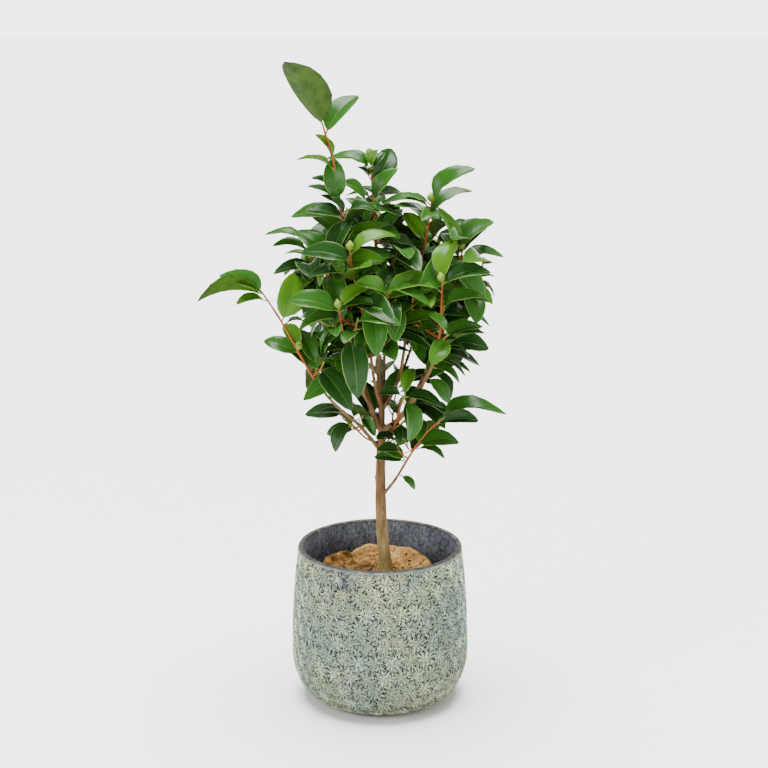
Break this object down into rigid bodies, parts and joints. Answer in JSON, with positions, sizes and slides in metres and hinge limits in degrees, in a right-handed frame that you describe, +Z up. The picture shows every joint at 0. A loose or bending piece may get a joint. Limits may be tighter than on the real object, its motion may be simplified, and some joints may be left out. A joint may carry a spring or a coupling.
{
  "type": "potted japanese camellia",
  "caption": "Young Japanese camellia shrub with glossy evergreen leaves and pale flower buds, in a round grey-green pot with a star flower relief.",
  "frame": {"origin": "centre of the flat underside of the pot, where it stands on the ground", "axes": "+Z up along the pot's axis; -Y towards the side seen in the picture, +X to its right"},
  "size_m": [0.4234, 0.2727, 0.9223],
  "materials": {
    "pot": "matt mottled grey-green glaze rubbed over a dark raised star flower pattern, dark slate inside",
    "root_ball": "dry ochre clay and fibre with dark litter round the trunk",
    "bark": "smooth tan bark, olive at the foot and red-brown on young wood",
    "foliage": "glossy dark green upper leaf, paler matt underside, yellow-green young leaves and buds"
  },
  "bodies": {
    "root": {"pot": "pot", "root_ball": "root_ball", "trunk": "bark", "bough_left": "bark", "bough_centre": "bark", "bough_right": "bark", "bough_low_left": "bark", "bough_low_right": "bark", "bough_back": "bark", "bough_right_upper": "bark", "bough_right_side": "bark", "bough_front_left": "bark", "bough_front": "bark", "bough_left_side": "bark", "bough_back_left": "bark", "bough_back_right": "bark", "foliage_leader": "foliage", "foliage_centre": "foliage", "foliage_right_top": "foliage", "foliage_right_side": "foliage", "foliage_front_right": "foliage", "foliage_front": "foliage", "foliage_front_left": "foliage", "foliage_left": "foliage", "foliage_left_sprig": "foliage", "foliage_low_right": "foliage", "foliage_low_front": "foliage", "foliage_low_left": "foliage", "foliage_low_back": "foliage", "foliage_back": "foliage", "foliage_back_left": "foliage", "foliage_back_right": "foliage"}
  },
  "joints": []
}
